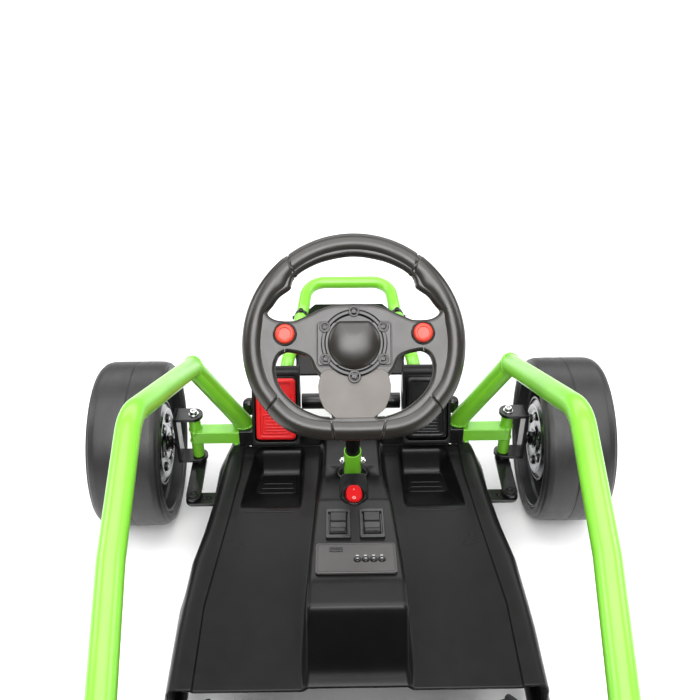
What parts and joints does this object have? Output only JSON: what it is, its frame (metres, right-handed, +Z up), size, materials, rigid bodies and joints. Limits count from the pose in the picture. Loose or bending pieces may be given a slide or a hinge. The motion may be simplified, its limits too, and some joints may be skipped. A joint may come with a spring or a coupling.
{
  "type": "electric drift kart",
  "caption": "Small electric drift kart with a tube frame, moulded floor pan, bucket seat, linked front steering, hoop bumpers and wide slick wheels.",
  "frame": {"origin": "on the ground under the middle of the overall box", "axes": "+Y the way it drives, +X the driver's right, +Z up"},
  "size_m": [0.684, 1.0553, 0.4952],
  "materials": {
    "lime_paint": "gloss powder coat, lime green",
    "black_paint": "satin black powder coat",
    "pan_plastic": "moulded black plastic, fine grain",
    "dark_plastic": "satin black plastic",
    "seat_plastic": "moulded black plastic",
    "grey_plastic": "satin grey plastic",
    "red_plastic": "glossy red plastic",
    "tyre_rubber": "smooth black slick rubber",
    "rim_paint": "dark grey satin paint",
    "chrome": "bright plated steel",
    "steel": "zinc plated steel"
  },
  "bodies": {
    "chassis": {"battery_box": "dark_plastic", "battery_cross_tube": "black_paint", "beam_saddle_left": "black_paint", "beam_saddle_right": "black_paint", "brake_pedal": "red_plastic", "column_stand": "black_paint", "direction_switch": "dark_plastic", "floor_cross_mid": "black_paint", "floor_pan": "pan_plastic", "floor_rail_left": "black_paint", "floor_rail_right": "black_paint", "front_beam": "lime_paint", "front_bumper": "lime_paint", "front_cross_tube": "black_paint", "gearbox_left": "dark_plastic", "gearbox_right": "dark_plastic", "media_panel": "grey_plastic", "motor_left": "dark_plastic", "motor_right": "dark_plastic", "nose_panel": "pan_plastic", "pedal_box_left": "pan_plastic", "pedal_box_right": "pan_plastic", "pedal_cross_tube": "black_paint", "power_housing": "dark_plastic", "power_switch": "red_plastic", "rear_axle": "steel", "rear_bumper": "lime_paint", "rear_cross_tube": "black_paint", "seat_cross_front": "black_paint", "seat_cross_rear": "black_paint", "seat_shell": "seat_plastic", "side_bar_left": "lime_paint", "side_bar_right": "lime_paint", "speed_switch": "dark_plastic", "throttle_pedal": "dark_plastic"},
    "steering": {"steering_wheel": "dark_plastic", "hub_cap": "dark_plastic", "horn_button_left": "red_plastic", "horn_button_right": "red_plastic"},
    "column_body": {"steering_shaft": "black_paint", "column_sleeve": "lime_paint", "column_bolt": "steel", "steering_crank": "black_paint"},
    "knuckle_left_body": {"knuckle_left": "black_paint", "kingpin_left": "steel"},
    "knuckle_right_body": {"knuckle_right": "black_paint", "kingpin_right": "steel"},
    "tie_rod_body": {"tie_rod": "black_paint"},
    "front_left_wheel": {"front_left_tyre": "tyre_rubber", "front_left_rim": "rim_paint", "front_left_hub": "chrome"},
    "front_right_wheel": {"front_right_tyre": "tyre_rubber", "front_right_rim": "rim_paint", "front_right_hub": "chrome"},
    "rear_left_wheel": {"rear_left_tyre": "tyre_rubber", "rear_left_rim": "rim_paint"},
    "rear_right_wheel": {"rear_right_tyre": "tyre_rubber", "rear_right_rim": "rim_paint"}
  },
  "joints": [
    {"name": "steering_turn", "type": "hinge", "parent": "chassis", "child": "steering", "pos_m": [0, 0.11, 0.384], "axis": [0, -0.7771, 0.6293], "range_deg": [-50, 50]},
    {"name": "column_turn", "type": "hinge", "parent": "chassis", "child": "column_body", "pos_m": [0, 0.13642, 0.3626], "axis": [0, -0.1592, 0.9872], "range_deg": [-50.1, 50.1]},
    {"name": "knuckle_left_turn", "type": "hinge", "parent": "chassis", "child": "knuckle_left_body", "pos_m": [-0.2155, 0.2595, 0.1135], "axis": [0, 0, 1], "range_deg": [-16.1, 16.1]},
    {"name": "knuckle_right_turn", "type": "hinge", "parent": "chassis", "child": "knuckle_right_body", "pos_m": [0.2155, 0.2595, 0.1135], "axis": [0, 0, 1], "range_deg": [-16.1, 16.1]},
    {"name": "tie_rod_turn", "type": "hinge", "parent": "knuckle_left_body", "child": "tie_rod_body", "pos_m": [-0.2155, 0.1895, 0.0708], "axis": [0, 0, 1], "range_deg": [-16.1, 16.1]},
    {"name": "front_left_spin", "type": "hinge", "parent": "knuckle_left_body", "child": "front_left_wheel", "pos_m": [-0.2945, 0.2595, 0.1135], "axis": [1, 0, 0], "continuous": true},
    {"name": "front_right_spin", "type": "hinge", "parent": "knuckle_right_body", "child": "front_right_wheel", "pos_m": [0.2945, 0.2595, 0.1135], "axis": [1, 0, 0], "continuous": true},
    {"name": "rear_left_spin", "type": "hinge", "parent": "chassis", "child": "rear_left_wheel", "pos_m": [-0.2945, -0.414, 0.1135], "axis": [1, 0, 0], "continuous": true},
    {"name": "rear_right_spin", "type": "hinge", "parent": "chassis", "child": "rear_right_wheel", "pos_m": [0.2945, -0.414, 0.1135], "axis": [1, 0, 0], "continuous": true}
  ],
  "couplings": [
    {"joint": "column_turn", "follows": "steering_turn", "ratio": 1},
    {"joint": "knuckle_left_turn", "follows": "steering_turn", "ratio": 0.32},
    {"joint": "knuckle_right_turn", "follows": "steering_turn", "ratio": 0.32},
    {"joint": "tie_rod_turn", "follows": "steering_turn", "ratio": -0.32}
  ]
}
